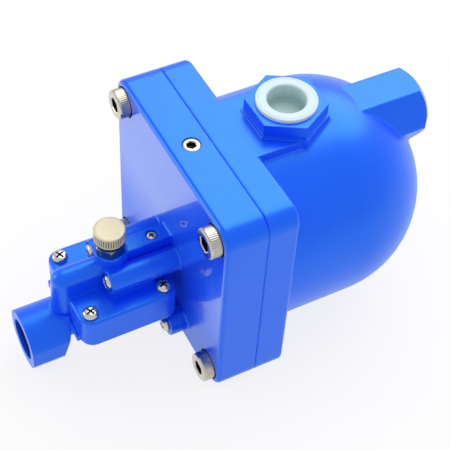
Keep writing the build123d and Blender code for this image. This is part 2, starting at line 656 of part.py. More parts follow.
def make_float_lever():
    """Lever: hub on the pivot pin, fork with a cross pin, and the rod that carries the float."""
    hub_outer, hub_half, prong_inner, prong_half = 3.2, ear_inner - pivot_play, 2.1, 1.7
    prong_foot, rod_radius = pivot_z - lever_short - 1.7, 1.5
    lever = pin(-hub_half, hub_half, hub_outer, pivot_x, pivot_z)
    for side in (-1, 1):
        near, far = sorted((side * prong_inner, side * hub_half))
        lever += block(pivot_x - prong_half, pivot_x + prong_half, near, far, prong_foot, pivot_z)
    lever += pin(-hub_half, hub_half, lever_pin, pivot_x, pivot_z - lever_short)
    reach = Vector(float_x - pivot_x, 0, float_z - pivot_z)
    inner_end = float_radius - 0.2
    rod_plane = Plane(origin=(pivot_x, 0, pivot_z), z_dir=reach.normalized())
    rod = extrude(rod_plane * Circle(rod_radius), reach.length - inner_end - 0.2)
    lever += rod
    lever -= pin(-hub_half, hub_half, pivot_radius + gap, pivot_x, pivot_z)
    return lever


def make_float_ball():
    """Hollow ball welded from two thin steel halves."""
    place = Pos(float_x, 0, float_z)
    return place * Sphere(float_radius) - place * Sphere(float_radius - float_skin)


# --- plastic plugs that close the inlets until the pipes are fitted ---
def make_plug():
    """Shipping plug that stands on z = 0, with its sleeve below: flange, sleeve and sunk floor."""
    flange_radius, flange_height, sleeve_gap = 13.0, 1.6, 0.25
    sleeve_length, floor_depth, recess, floor = 13.0, 8.0, 8.2, 1.2
    rim = 0.5
    plug = post(0, flange_height, flange_radius)
    plug = chamfer(plug.edges().sort_by(Axis.Z)[-1], rim)
    plug += post(-sleeve_length, 0, port_bore - sleeve_gap)
    plug -= post(flange_height - floor_depth, flange_height, recess)
    return plug - post(-sleeve_length, flange_height - floor_depth - floor, recess - 0.6)


def make_top_plug():
    """Plug in the top inlet."""
    return Pos(inlet_x, 0, inlet_top) * make_plug()


def make_end_plug():
    """Plug in the end inlet, pointing along X."""
    return Pos(end_inlet_x, 0, end_inlet_z) * Rot(0, 90, 0) * make_plug()


makers = {
    "bowl": make_bowl,
    "bowl_seal": make_bowl_seal,
    "cover": make_cover,
    "cover_bolts": make_cover_bolts,
    "port_screw": make_port_screw,
    "passage_screw": make_passage_screw,
    "valve_body": make_valve_body,
    "valve_lid": make_lid,
    "lid_screws": make_lid_screws,
    "upper_mount_screws": make_upper_mount_screws,
    "lower_mount_screws": make_lower_mount_screws,
    "passage_seals": make_passage_seals,
    "drain_seal": make_drain_seal,
    "diaphragm": make_diaphragm,
    "spindle": make_spindle,
    "spindle_washer": make_spindle_washer,
    "spindle_nut": make_spindle_nut,
    "poppet": make_poppet,
    "poppet_seal": make_poppet_seal,
    "main_seat": make_seat,
    "bottom_cap": make_bottom_cap,
    "valve_spring": make_valve_spring,
    "gland_nut": make_gland_nut,
    "stem_ring": make_stem_ring,
    "test_stem": make_test_stem,
    "knob": make_knob,
    "pilot_seat": make_pilot_seat,
    "pilot_needle": make_pilot_needle,
    "needle_tip": make_needle_tip,
    "float_bracket": make_float_bracket,
    "bracket_screws": make_bracket_screws,
    "pivot_pin": make_pivot_pin,
    "float_lever": make_float_lever,
    "float_ball": make_float_ball,
    "top_plug": make_top_plug,
    "end_plug": make_end_plug,
}

os.makedirs("parts", exist_ok=True)
stand = Pos(-flange_thick / 2, 0, flange_side / 2)
for node, maker in makers.items():
    made = maker()
    solids = [solid for piece in (made if isinstance(made, list) else [made]) for solid in piece.solids()]
    export_step(Compound(children=[stand * solid for solid in solids]), f"parts/{node}.step")
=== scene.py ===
import bpy
import numpy as np
from mathutils import Matrix, Vector


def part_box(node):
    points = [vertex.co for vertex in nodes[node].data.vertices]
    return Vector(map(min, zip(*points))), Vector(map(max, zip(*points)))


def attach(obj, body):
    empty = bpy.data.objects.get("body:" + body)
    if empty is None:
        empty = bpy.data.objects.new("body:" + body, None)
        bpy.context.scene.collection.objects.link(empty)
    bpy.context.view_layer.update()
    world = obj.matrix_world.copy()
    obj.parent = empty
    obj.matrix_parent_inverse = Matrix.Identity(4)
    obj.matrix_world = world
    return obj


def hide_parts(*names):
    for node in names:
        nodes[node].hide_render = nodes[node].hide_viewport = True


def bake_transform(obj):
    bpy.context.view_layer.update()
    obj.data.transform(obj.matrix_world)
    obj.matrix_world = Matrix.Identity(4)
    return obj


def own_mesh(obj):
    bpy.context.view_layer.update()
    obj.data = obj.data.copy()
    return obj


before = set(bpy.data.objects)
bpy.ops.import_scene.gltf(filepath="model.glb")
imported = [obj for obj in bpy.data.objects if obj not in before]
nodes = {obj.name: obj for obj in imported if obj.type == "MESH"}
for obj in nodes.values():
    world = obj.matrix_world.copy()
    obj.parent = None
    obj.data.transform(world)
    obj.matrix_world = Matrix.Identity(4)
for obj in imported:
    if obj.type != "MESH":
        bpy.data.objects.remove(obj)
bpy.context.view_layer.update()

mm = 0.001


# ---------------------------------------------------------------------------
# The bowl and the cover are aluminium castings, bolted flange to flange. Each is sprayed with
# a glossy blue stove enamel, which draws back to a small round along every edge, dries with a
# faint orange peel, and is bluer where it lies thick.
enamel_thick = (0.001, 0.040, 0.93, 1)
enamel_thin = (0.002, 0.056, 1.0, 1)
enamel_edge = 0.45 * mm
enamel_peel = 0.009 * mm
front_from, front_whole = -0.75, -0.97
gloss_low, gloss_high, gloss_least = 30 * mm, 62 * mm, 0.15


def new_finish(name):
    """An empty node material with its Principled shader wired to the output."""
    material = bpy.data.materials.new(name)
    material.use_nodes = True
    tree = material.node_tree
    tree.nodes.clear()
    output = tree.nodes.new("ShaderNodeOutputMaterial")
    shader = tree.nodes.new("ShaderNodeBsdfPrincipled")
    tree.links.new(shader.outputs["BSDF"], output.inputs["Surface"])
    return material, tree, shader


def grain(tree, scale, detail=2.0, roughness=0.5, stretch=(1, 1, 1)):
    """Noise over Object coordinates, scale in waves per metre, drawn out along an axis by stretch."""
    place = tree.nodes.new("ShaderNodeTexCoord")
    turn = tree.nodes.new("ShaderNodeMapping")
    turn.inputs["Scale"].default_value = stretch
    noise = tree.nodes.new("ShaderNodeTexNoise")
    noise.inputs["Scale"].default_value = scale
    noise.inputs["Detail"].default_value = detail
    noise.inputs["Roughness"].default_value = roughness
    tree.links.new(place.outputs["Object"], turn.inputs["Vector"])
    tree.links.new(turn.outputs["Vector"], noise.inputs["Vector"])
    return noise.outputs["Fac"]


def between(tree, value, low, high, socket, start=0.0, end=1.0):
    """Maps a value from start and end to low and high, held there beyond them, and links it."""
    reach = tree.nodes.new("ShaderNodeMapRange")
    reach.inputs["From Min"].default_value = start
    reach.inputs["From Max"].default_value = end
    reach.inputs["To Min"].default_value = low
    reach.inputs["To Max"].default_value = high
    tree.links.new(value, reach.inputs["Value"])
    tree.links.new(reach.outputs["Result"], socket)


def blended(tree, value, first, second):
    """Blends two colours, or two colour sockets, by a 0 to 1 value."""
    blend = tree.nodes.new("ShaderNodeMix")
    blend.data_type = "RGBA"
    tree.links.new(value, blend.inputs["Factor"])
    for colour, socket in ((first, blend.inputs["A"]), (second, blend.inputs["B"])):
        if isinstance(colour, tuple):
            socket.default_value = colour
        else:
            tree.links.new(colour, socket)
    return blend.outputs["Result"]


def relief(tree, shader, height, depth, edge=0.0):
    """Bump from a height field, depth in metres, over edges rounded by a small radius."""
    bump = tree.nodes.new("ShaderNodeBump")
    bump.inputs["Distance"].default_value = depth
    tree.links.new(height, bump.inputs["Height"])
    if edge:
        rounding = tree.nodes.new("ShaderNodeBevel")
        rounding.samples = 6
        rounding.inputs["Radius"].default_value = edge
        tree.links.new(rounding.outputs["Normal"], bump.inputs["Normal"])
    tree.links.new(bump.outputs["Normal"], shader.inputs["Normal"])


def gloss_on_front(tree, shader):
    """Clear coat where the casting's own surface looks along -X, times a share that grows with
    the height up the casting."""
    own = tree.nodes.new("ShaderNodeTexCoord")
    side = tree.nodes.new("ShaderNodeSeparateXYZ")
    place = tree.nodes.new("ShaderNodeSeparateXYZ")
    gloss = tree.nodes.new("ShaderNodeMath")
    gloss.operation = "MULTIPLY"
    tree.links.new(own.outputs["Normal"], side.inputs["Vector"])
    tree.links.new(own.outputs["Object"], place.inputs["Vector"])
    between(tree, side.outputs["X"], 0, 1, gloss.inputs[0], front_from, front_whole)
    between(tree, place.outputs["Z"], gloss_least, 1, gloss.inputs[1], gloss_low, gloss_high)
    tree.links.new(gloss.outputs["Value"], shader.inputs["Coat Weight"])


def dress(material, *names):
    """Gives CAD nodes a finish in every slot."""
    for name in names:
        slots = nodes[name].data.materials
        for i in range(len(slots)):
            slots[i] = material


blue_enamel, tree, shader = new_finish("stove_enamel")
tree.links.new(blended(tree, grain(tree, 45, 3), enamel_thick, enamel_thin), shader.inputs["Base Color"])
between(tree, grain(tree, 220), 0.26, 0.36, shader.inputs["Roughness"])
shader.inputs["IOR"].default_value = 2.0
shader.inputs["Specular Tint"].default_value = (0.18, 1, 1, 1)
shader.inputs["Coat Roughness"].default_value = 0.03
shader.inputs["Sheen Weight"].default_value = 0.25
shader.inputs["Sheen Roughness"].default_value = 0.35
shader.inputs["Sheen Tint"].default_value = (0.2, 0.75, 1, 1)
relief(tree, shader, grain(tree, 420, 4, 0.6), enamel_peel, enamel_edge)
tree.links.new(shader.inputs["Normal"].links[0].from_socket, shader.inputs["Coat Normal"])
gloss_on_front(tree, shader)
dress(blue_enamel, "bowl", "cover")


# ---------------------------------------------------------------------------
# Between the two flanges lies a ring of black nitrile rubber in its groove. The small seals of
# the air and water passages, the poppet's seal and the pilot needle's tip are moulded from it too.
rubber_deep, rubber_worn = (0.012, 0.012, 0.013, 1), (0.03, 0.03, 0.032, 1)

black_rubber, tree, shader = new_finish("nitrile_rubber")
tree.links.new(blended(tree, grain(tree, 900, 4), rubber_deep, rubber_worn), shader.inputs["Base Color"])
between(tree, grain(tree, 2500), 0.55, 0.8, shader.inputs["Roughness"])
relief(tree, shader, grain(tree, 4000), 0.01 * mm)
dress(black_rubber, "bowl_seal", "passage_seals", "drain_seal", "poppet_seal", "needle_tip")


# ---------------------------------------------------------------------------
# The float hangs inside the bowl: two pressed stainless half balls on a lever, which turns on
# a pin in a folded bracket and moves the pilot needle. Sheet and turned steel, left bare.
drawn_grey, drawn_bright = (0.50, 0.50, 0.49, 1), (0.66, 0.66, 0.65, 1)
drawn_along = (1, 12, 1)

stainless, tree, shader = new_finish("satin_stainless")
tree.links.new(blended(tree, grain(tree, 350, 3, 0.6, drawn_along), drawn_grey, drawn_bright),
               shader.inputs["Base Color"])
between(tree, grain(tree, 600, 3, 0.6, drawn_along), 0.24, 0.42, shader.inputs["Roughness"])
shader.inputs["Metallic"].default_value = 1
relief(tree, shader, grain(tree, 900, 2, 0.5, drawn_along), 0.004 * mm)
dress(stainless, "float_ball", "float_lever", "float_bracket", "pivot_pin", "pilot_needle",
      "spindle", "spindle_washer", "spindle_nut")


# ---------------------------------------------------------------------------
# Brass is turned for the pilot seat, the main seat, the poppet, the bottom cap and the test
# valve's stem. It shows the fine rings of the lathe tool and a little brown where it was held.
brass_brown, brass_bright = (0.52, 0.36, 0.13, 1), (0.72, 0.54, 0.23, 1)

brass, tree, shader = new_finish("turned_brass")
tree.links.new(blended(tree, grain(tree, 260, 4, 0.6), brass_brown, brass_bright), shader.inputs["Base Color"])
between(tree, grain(tree, 1400, 2, 0.5, (1, 1, 5)), 0.2, 0.36, shader.inputs["Roughness"])
shader.inputs["Metallic"].default_value = 1
relief(tree, shader, grain(tree, 2200, 1, 0.5, (1, 1, 6)), 0.004 * mm)
dress(brass, "pilot_seat", "main_seat", "poppet", "bottom_cap", "test_stem")


# ---------------------------------------------------------------------------
# Four M8 socket head bolts pull the cover against the bowl. They are cold headed steel with
# straight knurling rolled into the head, plated a warm white. Painted shade darkens their
# sockets, the knurl's grooves, the ring under the head and a band by the rim.
axis_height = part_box("cover")[1].z / 2
bolt_at = 42 * mm
bolt_under = -22.5 * mm
bolt_head, bolt_head_height, bolt_rim = 6.5 * mm, 8 * mm, 0.7 * mm
bolt_socket, bolt_socket_depth = 6 * mm, 4 * mm
bolt_shank, bolt_length = 4 * mm, 27 * mm
knurl_teeth, knurl_depth, bolt_twist = 48, 0.16 * mm, np.radians(17)
plating_bright = (0.80, 0.76, 0.67, 1)
plating_dull = (0.50, 0.47, 0.40, 1)
# Painted shade: the colour that the bolts' sockets, knurl grooves and under-head ring darken to.
socket_painted_shade = (0.035, 0.032, 0.028, 1)


def hexagon_reach(angle, flats):
    """Distance from a hexagon's middle to its side: half the flats over the cosine of the angle
    from the middle of the side."""
    return flats / 2 / np.cos(angle % (np.pi / 3) - np.pi / 6)


def stacked(radii, heights, angle):
    """Rings round the upright axis: row i has its radii at height i, both given as one number or
    one number for each angle."""
    radii = [np.broadcast_to(r, angle.shape) for r in radii]
    heights = [np.broadcast_to(h, angle.shape) for h in heights]
    radii, heights = np.array(radii), np.array(heights)
    return np.stack([radii * np.cos(angle), radii * np.sin(angle), heights], -1)


def skin_over(rings, joined=False):
    """Four-sided faces between neighbouring rings, each ring taken once round. The two end rings
    are closed by a fan to their middle, or joined to each other. Faces come as blocks of indices."""
    rows, around = rings.shape[:2]
    index = np.arange(rows * around).reshape(rows, around)
    low = index if joined else index[:-1]
    high = np.roll(index, -1, axis=0) if joined else index[1:]
    quads = np.stack([low, np.roll(low, -1, 1), np.roll(high, -1, 1), high], -1).reshape(-1, 4)
    points, blocks = rings.reshape(-1, 3), [quads]
    if not joined:
        points = np.vstack([points, rings[0].mean(0), rings[-1].mean(0)])
        for middle, here, there in ((rows * around, np.roll(index[0], -1), index[0]),
                                    (rows * around + 1, index[-1], np.roll(index[-1], -1))):
            blocks.append(np.stack([np.full(around, middle), here, there], -1))
    return points, blocks


def facing_left(points):
    """Turns a shape that stands on its foot so that its top looks along -X."""
    return points[:, [2, 1, 0]] * (-1, 1, 1)


def facing_right(points):
    """Turns a shape that stands on its foot so that its top looks along +X."""
    return points[:, [2, 1, 0]] * (1, 1, -1)


def piece_from(name, points, blocks, places, material, hollow=None, crease=32):
    """One object from a shape set down at each place. hollow is 1 down in a recess, 0 outside;
    finishes that read it darken there as painted shade.
    """
    places = np.array(places, float)
    every = (points[None] + places[:, None]).reshape(-1, 3)
    count = len(points)
    mesh = bpy.data.meshes.new(name)
    faces = [face for n in range(len(places)) for block in blocks for face in (block + count * n).tolist()]
    mesh.from_pydata(every, [], faces)
    mesh.shade_smooth()
    mesh.set_sharp_from_angle(angle=np.radians(crease))
    if hollow is not None:
        mark = mesh.attributes.new("hollow", "FLOAT", "POINT")
        mark.data.foreach_set("value", np.tile(hollow, len(places)).astype(np.float32))
    mesh.materials.append(material)
    piece = bpy.data.objects.new(name, mesh)
    bpy.context.scene.collection.objects.link(piece)
    return piece


def plated(name, bright, dull, smooth, rough, scale, depth, recess_shade=None, metal=1.0):
    """Plated metal: two tones and two polishes by noise, a fine relief, and painted shade in the hollows."""
    material, tree, shader = new_finish(name)
    colour = blended(tree, grain(tree, scale, 4, 0.65), dull, bright)
    # Painted shade: the hollow mark darkens the colour towards the last colour given.
    if recess_shade:
        recess = tree.nodes.new("ShaderNodeAttribute")
        recess.attribute_name = "hollow"
        colour = blended(tree, recess.outputs["Fac"], colour, recess_shade)
    tree.links.new(colour, shader.inputs["Base Color"])
    between(tree, grain(tree, scale * 2, 3), smooth, rough, shader.inputs["Roughness"])
    shader.inputs["Metallic"].default_value = metal
    relief(tree, shader, grain(tree, scale * 3, 2), depth)
    return material


def socket_screw(head, under, top, rim, socket, depth, shank, length, teeth, cut, twist=0.0, rim_shade_share=0.15):
    """Rings of a socket screw that stands on its shank's end at -length: shank, underside, side
    with a knurl cut into it as a triangle wave, rim, face, the six walls of the socket and the
    drill's cone below them. The hollow mark is painted shade: under the head, down in the knurl,
    on the side's ends and the rim by a given share, and in the socket."""
    lead, edge, run, mouth = 0.5 * mm, 0.2 * mm, 0.3 * mm, 0.35 * mm
    cone_low, cone_deep = 0.1 * mm, 0.9 * mm
    angle = np.linspace(0, 2 * np.pi, 288, endpoint=False)
    wave = np.abs((angle * teeth / (2 * np.pi) % 1) * 2 - 1)
    side = head - cut * wave
    six = hexagon_reach(angle - twist, socket)
    radii = [shank - lead, shank, shank, head - edge, head, head, side, side, head, head,
             head - 0.3 * rim, head - rim, six + mouth, six, six, six * 0.92, six * 0.2]
    heights = [-length, -length + lead, under, under, under + edge, under + edge + run, under + edge + 2 * run,
               top - rim - 2 * run, top - rim - run, top - rim, top - 0.3 * rim, top, top,
               top - mouth, top - depth, top - depth - cone_low, top - depth - cone_deep]
    # Painted shade share for each ring; 1 is full shade.
    hollow = np.repeat([0, 0, 0, 0.8, 0.5, rim_shade_share, 0, 0, rim_shade_share, rim_shade_share, 0.3 * rim_shade_share, 0, 0, 0.45, 1, 1, 1.0],
                       len(angle)).reshape(-1, len(angle))
    hollow[6:8] = 0.45 * wave if cut else rim_shade_share
    return stacked(radii, heights, angle), np.append(hollow, [0, 1])


bolt_rings, bolt_hollow = socket_screw(bolt_head, 0, bolt_head_height, bolt_rim, bolt_socket, bolt_socket_depth,
                                       bolt_shank, bolt_length, knurl_teeth, knurl_depth, bolt_twist)
bolt_points, bolt_faces = skin_over(bolt_rings)
warm_plating = plated("warm_zinc_plating", plating_bright, plating_dull, 0.16, 0.3, 500, 0.006 * mm, socket_painted_shade)
bolt_places = [(bolt_under, y, axis_height + z) for y in (-bolt_at, bolt_at) for z in (-bolt_at, bolt_at)]
bolts = piece_from("knurled_cover_bolts", facing_left(bolt_points), bolt_faces, bolt_places, warm_plating, bolt_hollow)
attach(bolts, "housing")
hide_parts("cover_bolts")


# ---------------------------------------------------------------------------
# A set screw closes the balance port in the cover's top edge. It is turned from the bar and
# plated a pale straw, and lies just under the enamel in a hole. Its side and rim are painted
# fully dark as painted shade for the dark ring of the gap round it, and its socket is painted shade.
port_top = axis_height + 50.8 * mm
port_x = -15.3 * mm
port_radius, port_length, port_rim = 3.75 * mm, 6.5 * mm, 0.5 * mm
port_socket, port_depth, port_twist = 3.6 * mm, 2.4 * mm, np.radians(15)
port_lead, port_point = 1 * mm, port_radius - 0.5 * mm
straw_bright = (0.70, 0.64, 0.48, 1)
straw_dull = (0.50, 0.45, 0.32, 1)

port_rings, port_hollow = socket_screw(port_radius, -port_length + port_lead, 0, port_rim, port_socket, port_depth,
                                       port_point, port_length, teeth=1, cut=0, twist=port_twist, rim_shade_share=1.0)
port_points, port_faces = skin_over(port_rings)
straw_plating = plated("straw_nickel", straw_bright, straw_dull, 0.2, 0.34, 700, 0.005 * mm, socket_painted_shade)
port_screw = piece_from("balance_port_screw", port_points, port_faces, [(port_x, 0, port_top)], straw_plating,
                        port_hollow)
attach(port_screw, "housing")
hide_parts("port_screw")


# ---------------------------------------------------------------------------
# The valve unit is two more castings, body and lid, in the same enamel as the cover. The
# drain's G1/2 thread is cut through the wet paint edge and shows as fine rings in the mouth.
# Its blue is set far darker than the enamel's, painted shade down in the bore.
dress(blue_enamel, "valve_body", "valve_lid")

unit_left = -52 * mm
drain_height = axis_height - 35 * mm
drain_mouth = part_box("valve_body")[0].x
thread_pitch, thread_crest, thread_root, thread_back = 1.814 * mm, 8.95 * mm, 9.28 * mm, 9.6 * mm
thread_start, thread_end = 1.6 * mm, 15.0 * mm
# Painted shade: the thread's blue is darkened far below the enamel for the shade in the bore.
thread_shade_bright = (0.004, 0.02, 0.22, 1)
thread_shade_dull = (0.002, 0.008, 0.09, 1)


def inside_thread(pitch, crest, root, back, start, end, around=96, steps=12):
    """Rings of a threaded sleeve, crest inwards: the radius is root less a triangle wave of depth
    over pitch minus turn, faded out at both ends, and the last rings close it behind."""
    angle = np.linspace(0, 2 * np.pi, around, endpoint=False)
    depth = np.linspace(start, end, int((end - start) / pitch * steps))[:, None]
    wave = 1 - np.abs(((depth / pitch - angle / (2 * np.pi)) % 1) * 2 - 1)
    fade = np.clip((depth - start) / pitch, 0, 1) * np.clip((end - depth) / pitch, 0, 1)
    radius = root - (root - crest) * wave * fade
    radius = np.vstack([radius, np.full((2, around), back)])
    height = np.vstack([np.broadcast_to(depth, (len(depth), around)), np.full((1, around), end),
                        np.full((1, around), start)])
    return np.stack([radius * np.cos(angle), radius * np.sin(angle), height], -1)


thread_rings = inside_thread(thread_pitch, thread_crest, thread_root, thread_back, thread_start, thread_end)
thread_points, thread_faces = skin_over(thread_rings[::-1], joined=True)
thread_shaded_finish = plated("overspray_and_bore_shade", thread_shade_bright, thread_shade_dull, 0.25, 0.45, 600, 0.004 * mm, metal=0.3)
drain_thread = piece_from("drain_thread", facing_right(thread_points), thread_faces, [(drain_mouth, 0, drain_height)],
                          thread_shaded_finish)
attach(drain_thread, "housing")


# ---------------------------------------------------------------------------
# Under the poppet a spring of stainless wire pushes the main valve shut. It is wound on an
# arbor with open ends, and it is pressed two millimetres shorter when the valve opens.
spring_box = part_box("valve_spring")
spring_middle = (spring_box[0] + spring_box[1]) / 2
spring_wire, spring_radius, spring_turns = 0.35 * mm, 3.8 * mm, 3


def wound_spring(middle, low, high, wire, radius, turns, along=120, around=14):
    """Rings of wire along a helix: each ring lies in the plane of the outward direction and the
    direction square to it and to the wire's run."""
    share = np.linspace(0, 1, along)[:, None]
    turn = 2 * np.pi * turns * share
    outward = np.hstack([np.cos(turn), np.sin(turn), 0 * turn])
    line = np.hstack([middle.x + radius * np.cos(turn), middle.y + radius * np.sin(turn),
                      low + wire + (high - low - 2 * wire) * share])
    climb = (high - low) / (2 * np.pi * turns)
    run = np.hstack([-radius * np.sin(turn), radius * np.cos(turn), 0 * turn + climb])
    run /= np.linalg.norm(run, axis=1, keepdims=True)
    square = np.cross(run, outward)
    angle = np.linspace(0, 2 * np.pi, around, endpoint=False)[:, None]
    return line[:, None] + wire * (outward[:, None] * np.cos(angle) + square[:, None] * np.sin(angle))


spring_rings = wound_spring(spring_middle, spring_box[0].z, spring_box[1].z, spring_wire, spring_radius, spring_turns)
spring_points, spring_faces = skin_over(spring_rings)
spring = piece_from("wound_valve_spring", spring_points, spring_faces, [(0, 0, 0)], stainless)
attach(spring, "housing")
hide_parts("valve_spring")
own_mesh(spring)


# ---------------------------------------------------------------------------
# The diaphragm is moulded from the same rubber over cloth. Its rim is clamped between body and
# lid, its flat middle goes down with the main valve, and the sloping ring between them bends.
diaphragm_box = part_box("diaphragm")
diaphragm_top, diaphragm_foot = diaphragm_box[1].z, diaphragm_box[0].z
diaphragm_thick, diaphragm_hole, flex_inner, flex_outer = 1.2 * mm, 2.1 * mm, 9.6 * mm, 15.5 * mm
diaphragm_rim = (diaphragm_box[1].x - diaphragm_box[0].x) / 2


def moulded_diaphragm(top, foot, thick, hole, inner, outer, rim, around=96):
    """Rings round the diaphragm's outline: underside from hole to rim, edge, top back to the hole,
    and the hole's wall. Radius and height run evenly along the slope, in even bands."""
    angle = np.linspace(0, 2 * np.pi, around, endpoint=False)
    share = np.linspace(0, 1, 6)
    slope = inner + (outer - inner) * share
    radii = [hole] + list(slope) + [rim, rim] + list(slope[::-1]) + [hole]
    rise = foot + (top - thick - foot) * share
    heights = [foot] + list(rise) + [top - thick, top] + list(rise[::-1] + thick) + [foot + thick]
    return stacked(radii, heights, angle)


diaphragm_rings = moulded_diaphragm(diaphragm_top, diaphragm_foot, diaphragm_thick, diaphragm_hole, flex_inner,
                                    flex_outer, diaphragm_rim)
diaphragm_points, diaphragm_faces = skin_over(diaphragm_rings, joined=True)
diaphragm = piece_from("moulded_diaphragm", diaphragm_points, diaphragm_faces, [(unit_left, 0, 0)], black_rubber)
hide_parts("diaphragm")
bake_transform(diaphragm)


# ---------------------------------------------------------------------------
# Cross recess pan head screws, M4, nickel plated: four hold the lid on the body, two go
# through the tubes and two through the feet into the cover. A small one closes an air passage.
pan_radius, pan_height, pan_side, pan_shank = 3.4 * mm, 2.5 * mm, 0.9 * mm, 1.95 * mm
cross_half, cross_reach, cross_depth = 0.42 * mm, 2.15 * mm, 1.5 * mm
nickel_bright = (0.80, 0.76, 0.68, 1)
nickel_dull = (0.52, 0.49, 0.42, 1)
# Painted shade colour down in the cross recess.
cross_painted_shade = (0.03, 0.022, 0.016, 1)


def cross_head_screw(radius, height, side, shank, length, half, reach, depth, turn, around=120, steps=34):
    """Rings of a pan head screw with its shank below z = 0. The head's height goes with the root of
    one less the fourth power of the distance from the middle. A cross of two crossed slots is sunk
    into it, deeper towards the middle, and its walls lean by a fixed share of the head's radius."""
    angle = np.linspace(0, 2 * np.pi, around, endpoint=False)
    share = np.linspace(1, 0.02, steps)[:, None] ** 0.8
    along, across = radius * share * np.cos(angle - turn), radius * share * np.sin(angle - turn)
    first = np.maximum(np.abs(across) - half, np.abs(along) - reach)
    second = np.maximum(np.abs(along) - half, np.abs(across) - reach)
    wall, lead, edge = 0.16 * radius / 3.4, 0.8 * mm, 0.15 * mm
    sunk = np.clip(-np.minimum(first, second) / wall, 0, 1)
    dome = side + (height - side) * np.sqrt(np.clip(1 - share ** 4, 0, 1))
    fall = depth * (1 - 0.45 * radius * share / reach)
    top = stacked(radius * share, dome - sunk * fall, angle)
    foot = stacked([shank * 0.6, shank, shank, radius - edge, radius], [-length, -length + lead, 0, 0, edge], angle)
    # The cross recess's depth share is the hollow mark: painted shade for the nickel.
    hollow = np.concatenate([np.zeros(foot.shape[0] * around), sunk.ravel(), [0, 1]])
    return np.concatenate([foot, top]), hollow


def set_screws(name, length, turned, places, nickel, turn):
    """Pan head screws of one length at each place, looking the way that turned gives them."""
    rings, hollow = cross_head_screw(pan_radius, pan_height, pan_side, pan_shank, length,
                                     cross_half, cross_reach, cross_depth, turn)
    points, faces = skin_over(rings)
    piece = piece_from(name, turned(points), faces, places, nickel, hollow, crease=50)
    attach(piece, "housing")
    return piece


nickel = plated("bright_nickel", nickel_bright, nickel_dull, 0.12, 0.26, 600, 0.005 * mm, cross_painted_shade)
lid_seat, lid_pitch, lid_length, lid_turn = axis_height - 11.5 * mm, 16.75 * mm, 15.5 * mm, np.radians(25)
lid_places = [(unit_left + x, y, lid_seat) for x in (-lid_pitch, lid_pitch) for y in (-lid_pitch, lid_pitch)]
lid_screws = set_screws("lid_pan_screws", lid_length, np.array, lid_places, nickel, lid_turn)
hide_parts("lid_screws")

tube_seat, tube_apart, tube_height = -56.4 * mm, 9.1 * mm, axis_height - 4.9 * mm
tube_length, tube_turn = 30 * mm, np.radians(40)
tube_places = [(tube_seat, y, tube_height) for y in (-tube_apart, tube_apart)]
tube_screws = set_screws("tube_pan_screws", tube_length, facing_left, tube_places, nickel, tube_turn)
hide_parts("upper_mount_screws")

foot_seat, foot_apart, foot_height = -33.5 * mm, 16.5 * mm, axis_height - 39 * mm
foot_length, foot_turn = 12 * mm, np.radians(10)
foot_places = [(foot_seat, y, foot_height) for y in (-foot_apart, foot_apart)]
foot_screws = set_screws("foot_pan_screws", foot_length, facing_left, foot_places, nickel, foot_turn)
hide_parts("lower_mount_screws")

vent_radius, vent_head, vent_side, vent_shank, vent_length = 2.25 * mm, 1.1 * mm, 0.35 * mm, 1.3 * mm, 2.2 * mm
vent_half, vent_reach, vent_depth, vent_turn = 0.36 * mm, 1.35 * mm, 0.8 * mm, np.radians(15)
vent_place = (-33 * mm, 0, axis_height + 2.8 * mm)
vent_rings, vent_hollow = cross_head_screw(vent_radius, vent_head, vent_side, vent_shank, vent_length,
                                           vent_half, vent_reach, vent_depth, vent_turn)
vent_points, vent_faces = skin_over(vent_rings)
vent_screw = piece_from("passage_pan_screw", vent_points, vent_faces, [vent_place], nickel, vent_hollow, crease=50)
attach(vent_screw, "housing")
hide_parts("passage_screw")
dress(plated("plated_m3", nickel_bright, nickel_dull, 0.2, 0.34, 600, 0.005 * mm), "bracket_screws")


# ---------------------------------------------------------------------------
# The gland nut of the test valve is turned and milled from hexagon bar and polished before it
# is chromed. A cone takes its top corners off, which draws the curved line on each flat. Its
# chrome is given a dark blue colour, a painted reflection of the blue castings round it.
nut_foot, nut_low, nut_top = axis_height + 1.4 * mm, axis_height + 5 * mm, axis_height + 9.6 * mm
nut_flats, nut_turn, nut_shank, nut_hole = 12 * mm, np.radians(11.5), 4.38 * mm, 2.56 * mm
# Painted reflection: the chrome's colours are dark and blue like the castings it mirrors.
chrome_blue_reflection_bright = (0.26, 0.31, 0.40, 1)
chrome_blue_reflection_dull = (0.10, 0.13, 0.20, 1)
nut_corner, nut_top_slope, nut_low_slope, nut_lead = 0.15 * mm, 1.1, 1.4, 0.3 * mm


def bevelled_nut(flats, turn, foot, low, top, shank, hole, corner, top_slope, low_slope, lead,
                 around=144, steps=18):
    """Rings of a nut: at each height the radius is the hexagon's reach, or the cone's if that is
    less; then the hole's wall runs back down, and the last ring joins the first."""
    angle = np.linspace(0, 2 * np.pi, around, endpoint=False)
    heights = np.linspace(low, top, steps)
    cone = flats / 2 + corner + np.minimum((top - heights) * top_slope, (heights - low) * low_slope + lead)
    sides = np.minimum(hexagon_reach(angle - turn, flats), cone[:, None])
    radii = [shank, shank] + list(sides) + [hole + lead, hole, hole]
    return stacked(radii, [foot, low] + list(heights) + [top, top - lead, foot], angle)


nut_rings = bevelled_nut(nut_flats, nut_turn, nut_foot, nut_low, nut_top, nut_shank, nut_hole,
                         nut_corner, nut_top_slope, nut_low_slope, nut_lead)
nut_points, nut_faces = skin_over(nut_rings, joined=True)
chrome = plated("polished_chrome", chrome_blue_reflection_bright, chrome_blue_reflection_dull, 0.06, 0.14, 300, 0.002 * mm)
nut = piece_from("bevelled_gland_nut", nut_points, nut_faces, [(unit_left, 0, 0)], chrome, crease=25)
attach(nut, "housing")
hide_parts("gland_nut")


